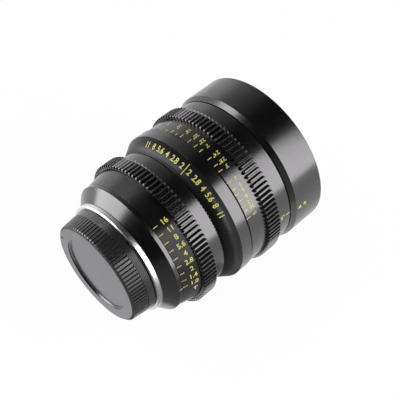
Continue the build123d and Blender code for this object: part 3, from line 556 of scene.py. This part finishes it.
def aperture_scale(yellow, white):
    """Stops on the tapered rear of the aperture ring, with the index on the rear housing."""
    marks = Marks("aperture_scale", "aperture_ring", "aperture_ring", yellow)
    rear, _ = along("aperture_ring")
    for i, stop in enumerate(aperture_stops):
        angle = aperture_index_angle - i * aperture_stop_turn
        marks.tick(angle, rear + aperture_tick_margin, rear + aperture_tick_length)
        marks.word(stop, aperture_number_height, angle, rear + aperture_number_place)
    marks.finish()
    letter = Marks("stop_letter", "aperture_ring", "aperture_ring", white)
    letter.word("T", aperture_number_height, stop_letter_angle, rear + aperture_number_place)
    letter.finish()
    index = Marks("aperture_index", "rear_housing", "barrel", white)
    _, front = along("rear_housing")
    index.tick(aperture_index_angle, front - aperture_index_length, front - aperture_tick_margin)
    index.finish()


def focus_throw():
    """Turn of the focus ring from its nearest distance to infinity."""
    return next(j for j in frame["joints"] if j["name"] == "focus_turn")["range_deg"][1]


def focus_angle(feet, infinity=focus_infinity_angle):
    """Angle of a distance on a focus scale; None is infinity."""
    return infinity - (focus_throw() / feet if feet else 0.0)


def focus_scale(yellow, white):
    """Distances on the rear of the focus ring, a second row on its front, and the index of each."""
    rear, front = along("focus_ring")
    marks = Marks("focus_scale", "focus_ring", "focus_ring", yellow)
    start = rear + focus_tick_start
    for text, feet in focus_numbers:
        angle = focus_angle(feet)
        marks.word(text, focus_number_height, angle, rear + focus_number_place, facing=-1, weight=fine)
        marks.tick(angle, start, start + focus_tick_length)
    for feet in focus_plain_ticks:
        marks.tick(focus_angle(feet), start, start + focus_tick_length * plain_tick_share)
    side_infinity = index_angle + focus_throw()
    for text, feet in side_numbers:
        angle = focus_angle(feet, side_infinity)
        marks.word(text, side_number_height, angle, front - side_number_place)
    marks.finish()
    ticks = Marks("side_ticks", "focus_ring", "focus_ring", white)
    for _, feet in side_numbers:
        angle = focus_angle(feet, side_infinity)
        ticks.tick(angle, front - side_tick_far, front - side_tick_near)
    ticks.finish()
    index = Marks("focus_index", "main_barrel", "barrel", white)
    _, barrel_end = along("main_barrel")
    index.tick(focus_angle(1), barrel_end - focus_index_far, barrel_end - focus_index_near, focus_index_width)
    index.finish()
    side = Marks("side_index", "front_barrel", "barrel", yellow)
    start, _ = along("front_barrel")
    side.pointer(index_angle, start + pointer_place, pointer_length, pointer_width)
    side.word("ft", side_number_height, index_angle, start + unit_place)
    side.finish()


def band(name, carrier, body, material, places, skin):
    """A thin skin round a turned surface of a CAD node, through some places along the axis."""
    cone = Marks(name, carrier, body, material)
    surface = [(cone.radius(0.0, y), y) for y in places]
    outline = [(r + skin, y) for r, y in surface] + [(r - skin, y) for r, y in surface][::-1]
    angles = [360 * i / band_segments for i in range(band_segments)]
    rings = [[cone.mesh.verts.new(place(angle, radius, y)) for angle in angles] for radius, y in outline]
    for a, b in zip(rings, rings[1:] + rings[:1]):
        for i in range(band_segments):
            j = (i + 1) % band_segments
            face = cone.mesh.faces.new((a[i], a[j], b[j], b[i]))
            face.smooth = True
    cone.finish()


def lettered_band(lacquer, yellow):
    """Lacquered cone with a row of plain numbers, the same on both sides of its middle."""
    rear, _ = along("main_barrel")
    low, high = rear + band_margin, rear + band_length - band_margin
    band("lettered_band", "main_barrel", "barrel", lacquer, (low, high), band_skin)
    marks = Marks("band_numbers", "main_barrel", "barrel", yellow, band_skin)
    middle = (len(band_numbers) - 1) / 2
    for i, text in enumerate(band_numbers):
        angle = band_angle + (i - middle) * band_number_turn
        marks.word(text, band_number_height, angle, rear + band_number_place, along_axis=False)
    marks.tick(band_angle, rear + band_line_start, rear + band_line_end)
    marks.finish()


def tooth_ends(name, node, body, material):
    """Bevelled ends on the teeth of a gear ring, front and rear, set on the teeth of the CAD node."""
    points = [v.co for v in frame["nodes"][node].data.vertices]
    tip = max(hypot(p.x, p.z) for p in points)
    crown = [p for p in points if hypot(p.x, p.z) > tip - tip_tolerance]
    made = bmesh.new()
    for y, way in ((min(p.y for p in crown), -1), (max(p.y for p in crown), 1)):
        corners = sorted({round(atan2(p.x, p.z), 5) for p in crown if abs(p.y - y) < tip_tolerance})
        if corners[1] - corners[0] > corners[2] - corners[1]:
            corners = corners[1:] + [corners[0] + 2 * pi]
        pitch = 4 * pi / len(corners)
        for start, end in zip(corners[::2], corners[1::2]):
            middle, half_tip = (start + end) / 2, (end - start) / 2
            half_root = pitch / 2 - half_tip * tooth_gap_share
            half_bevel = half_tip + (half_root - half_tip) * tooth_bevel / tooth_height
            section = (
                (tip - tip_tolerance, half_tip, 0.0),
                (tip - tooth_bevel, half_bevel, tooth_bevel),
                (tip - tooth_height, half_root, tooth_bevel), (tip - tooth_height, half_root, 0.0),
            )
            sides = []
            for side in (-1, 1):
                sides.append([
                    made.verts.new(place(degrees(middle + side * half), radius, y + way * out))
                    for radius, half, out in section
                ])
            left, right = sides
            made.faces.new(left)
            made.faces.new(right)
            for i in range(4):
                j = (i + 1) % 4
                made.faces.new((left[i], left[j], right[j], right[i]))
    bmesh.ops.recalc_face_normals(made, faces=made.faces[:])
    data = bpy.data.meshes.new(name)
    made.to_mesh(data)
    made.free()
    data.materials.append(material)
    piece = linked(name, data)
    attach(piece, body)


def gap_shade_bands(dull):
    """Painted shade: dull black bands either side of the gaps between the rings, as deep as the gaps look."""
    edges = (
        ("aperture_gap_shade", "aperture_ring", "aperture_ring", False),
        ("barrel_gap_shade", "main_barrel", "barrel", False),
        ("focus_rear_gap_shade", "focus_ring", "focus_ring", True),
        ("focus_front_gap_shade", "focus_ring", "focus_ring", False),
    )
    for name, carrier, body, at_rear in edges:
        rear, front = along(carrier)
        steps = (seam_edge, seam_chamfer, seam_width)
        places = [rear + step for step in steps] if at_rear else [front - step for step in reversed(steps)]
        band(name, carrier, body, dull, places, seam_skin)


def filter_thread(material):
    """Ridge of the filter thread, wound inside the front barrel's bore."""
    _, front = along("front_barrel")
    bore = Marks("filter_thread", "front_barrel", "barrel", material)
    turns = thread_length / thread_pitch
    count = int(turns * thread_steps)
    rows = []
    for i in range(count + 1):
        turn = i / thread_steps
        y = front - thread_inset - turn * thread_pitch
        crest = -thread_depth * min(1.0, turn / thread_fade_turns, (turns - turn) / thread_fade_turns)
        profile = (
            (thread_sunk, -thread_foot_share), (crest, -thread_crest_share),
            (crest, thread_crest_share), (thread_sunk, thread_foot_share),
        )
        rows.append([
            bore.mesh.verts.new(place(360 * turn, thread_radius + rise, y + share * thread_pitch))
            for rise, share in profile
        ])
    for a, b in zip(rows, rows[1:]):
        for i in range(4):
            j = (i + 1) % 4
            bore.mesh.faces.new((a[i], a[j], b[j], b[i]))
    bore.mesh.faces.new(rows[0])
    bore.mesh.faces.new(rows[-1])
    bore.finish()


def make_camera():
    """The photograph's view."""
    data = bpy.data.cameras.new("camera")
    data.sensor_width = sensor_width
    data.lens = focal_length
    made = linked("camera", data)
    front = Vector((0, along("front_barrel")[1], 0))
    made.location = front + camera_from_front
    made.rotation_mode = "QUATERNION"
    made.rotation_quaternion = camera_forward.to_track_quat("-Z", "Y")
    bpy.context.scene.camera = made


def seen_directly(tree):
    """1 for rays from the camera, from gloss or through glass, and 0 for light that falls on a surface."""
    path = tree.nodes.new("ShaderNodeLightPath")
    total = path.outputs["Is Camera Ray"]
    for name in ("Is Glossy Ray", "Is Transmission Ray"):
        join = tree.nodes.new("ShaderNodeMath")
        join.operation = "MAXIMUM"
        tree.links.new(total, join.inputs[0])
        tree.links.new(path.outputs[name], join.inputs[1])
        total = join.outputs[0]
    return total


def make_floor():
    """A plain white floor that keeps a soft shadow."""
    flat = bmesh.new()
    bmesh.ops.create_circle(flat, cap_ends=True, segments=64, radius=floor_radius)
    data = bpy.data.meshes.new("floor")
    flat.to_mesh(data)
    flat.free()
    made = linked("floor", data)
    made.location = (studio_centre.x, studio_centre.y, cad_box[0].z - floor_gap)
    material = bpy.data.materials.new("floor")
    material.use_nodes = True
    tree = material.node_tree
    tree.nodes.clear()
    diffuse = tree.nodes.new("ShaderNodeBsdfDiffuse")
    diffuse.inputs["Color"].default_value = (floor_white, floor_white, floor_white, 1.0)
    glow = tree.nodes.new("ShaderNodeEmission")
    share = tree.nodes.new("ShaderNodeMath")
    share.operation = "MULTIPLY"
    share.inputs[1].default_value = floor_glow_share
    tree.links.new(seen_directly(tree), share.inputs[0])
    both = tree.nodes.new("ShaderNodeMixShader")
    tree.links.new(share.outputs[0], both.inputs[0])
    tree.links.new(diffuse.outputs[0], both.inputs[1])
    tree.links.new(glow.outputs[0], both.inputs[2])
    out = tree.nodes.new("ShaderNodeOutputMaterial")
    tree.links.new(both.outputs[0], out.inputs[0])
    data.materials.append(material)


def make_world():
    """A white room: plain light on surfaces, pure white where it is seen."""
    world = bpy.data.worlds.new("studio")
    world.use_nodes = True
    tree = world.node_tree
    back = tree.nodes["Background"]
    back.inputs["Color"].default_value = (1, 1, 1, 1)
    level = tree.nodes.new("ShaderNodeMapRange")
    level.inputs["To Min"].default_value = ambient_strength
    level.inputs["To Max"].default_value = 1.0
    tree.links.new(seen_directly(tree), level.inputs["Value"])
    tree.links.new(level.outputs[0], back.inputs["Strength"])
    bpy.context.scene.world = world


def softbox(name, direction, distance, width, height, radiance, in_gloss=True):
    """A rectangular lamp that faces the lens. Radiance 1 is a white surface's own."""
    data = bpy.data.lights.new(name, "AREA")
    data.shape = "RECTANGLE"
    data.size, data.size_y = width, height
    data.energy = radiance * pi * width * height
    made = linked(name, data)
    made.location = studio_centre + Vector(direction).normalized() * distance
    made.visible_glossy = in_gloss
    aim(made, studio_centre)


def card(name, rows):
    """A studio card that only shows in gloss. Each row is a line across it: its ends and its radiance."""
    flat = bmesh.new()
    shade = flat.verts.layers.float_color.new("shade")
    lines = []
    for start, end, radiance in rows:
        line = [flat.verts.new(start), flat.verts.new(end)]
        for v in line:
            v[shade] = (radiance, radiance, radiance, 1.0)
        lines.append(line)
    for a, b in zip(lines, lines[1:]):
        flat.faces.new((a[0], b[0], b[1], a[1]))
    data = bpy.data.meshes.new(name)
    flat.to_mesh(data)
    flat.free()
    made = linked(name, data)
    made.visible_camera = made.visible_diffuse = False
    made.visible_shadow = made.visible_transmission = False
    material = bpy.data.materials.new(name)
    material.use_nodes = True
    tree = material.node_tree
    tree.nodes.clear()
    read = tree.nodes.new("ShaderNodeAttribute")
    read.attribute_name = "shade"
    glow = tree.nodes.new("ShaderNodeEmission")
    tree.links.new(read.outputs["Color"], glow.inputs["Color"])
    out = tree.nodes.new("ShaderNodeOutputMaterial")
    tree.links.new(glow.outputs[0], out.inputs[0])
    data.materials.append(material)


def ceiling(name, rear, front, shades):
    """A level card above the lens. Its shades are (x, radiance)."""
    z = ceiling_height
    card(name, [((x, rear, z), (x, front, z), radiance) for x, radiance in shades])


def wall(name, height, shades):
    """An upright card on the floor. Its shades are (x, y, radiance)."""
    foot = cad_box[0].z
    card(name, [((x, y, foot), (x, y, height), radiance) for x, y, radiance in shades])


def make_lights():
    """Two lamps, and the cards that shape what the black rings reflect."""
    softbox("front_softbox", (0.80, 0.37, 0.417), lamp_distance, width=0.32, height=0.60, radiance=4.2)
    # The rear lamp doesn't show in gloss, where the first card stands for it
    softbox(
        "rear_softbox", (-0.72, -0.595, 0.36), lamp_distance, width=0.66, height=0.66, radiance=1.7,
        in_gloss=False,
    )
    wall("rear_softbox_front", rear_card_height, rear_card_shades)
    ceiling("ceiling", -1.0, 1.8, ceiling_shades)
    ceiling("right_ceiling", -1.8, -0.12, right_ceiling_shades)
    low = cad_box[0].z
    a, b = right_floor_start, right_floor_end
    card("right_floor", [((a, y, low), (b, y, low), light) for y, light in right_floor_shades])
    wall("right_wall", right_wall_height, right_wall_shades)


def main():
    """Dress the CAD nodes, add the paint and the fine forms, and set up the studio."""
    scene = bpy.context.scene
    scene.view_settings.view_transform = "Standard"
    makers = (
        black_anodised, inner_black, chrome, screw_steel, follower_brass, blade_steel, cap_plastic,
    )
    materials = {maker.__name__: maker() for maker in makers}
    materials["glass"] = coated_glass()
    yellow = paint("yellow_paint", (0.62, 0.58, 0.12), (0.78, 0.74, 0.20))
    white = paint("white_paint", (0.66, 0.66, 0.62), (0.80, 0.80, 0.77))
    dress_cad(materials)
    aperture_scale(yellow, white)
    focus_scale(yellow, white)
    lettered_band(band_lacquer(), yellow)
    # Painted shade bands that widen the dark gaps between the rings
    gap_shade_bands(painted_gap_shade())
    tooth_ends("focus_tooth_ends", "focus_ring", "focus_ring", materials["black_anodised"])
    tooth_ends("aperture_tooth_ends", "aperture_ring", "aperture_ring", materials["black_anodised"])
    filter_thread(materials["black_anodised"])
    make_camera()
    make_floor()
    make_world()
    make_lights()


main()
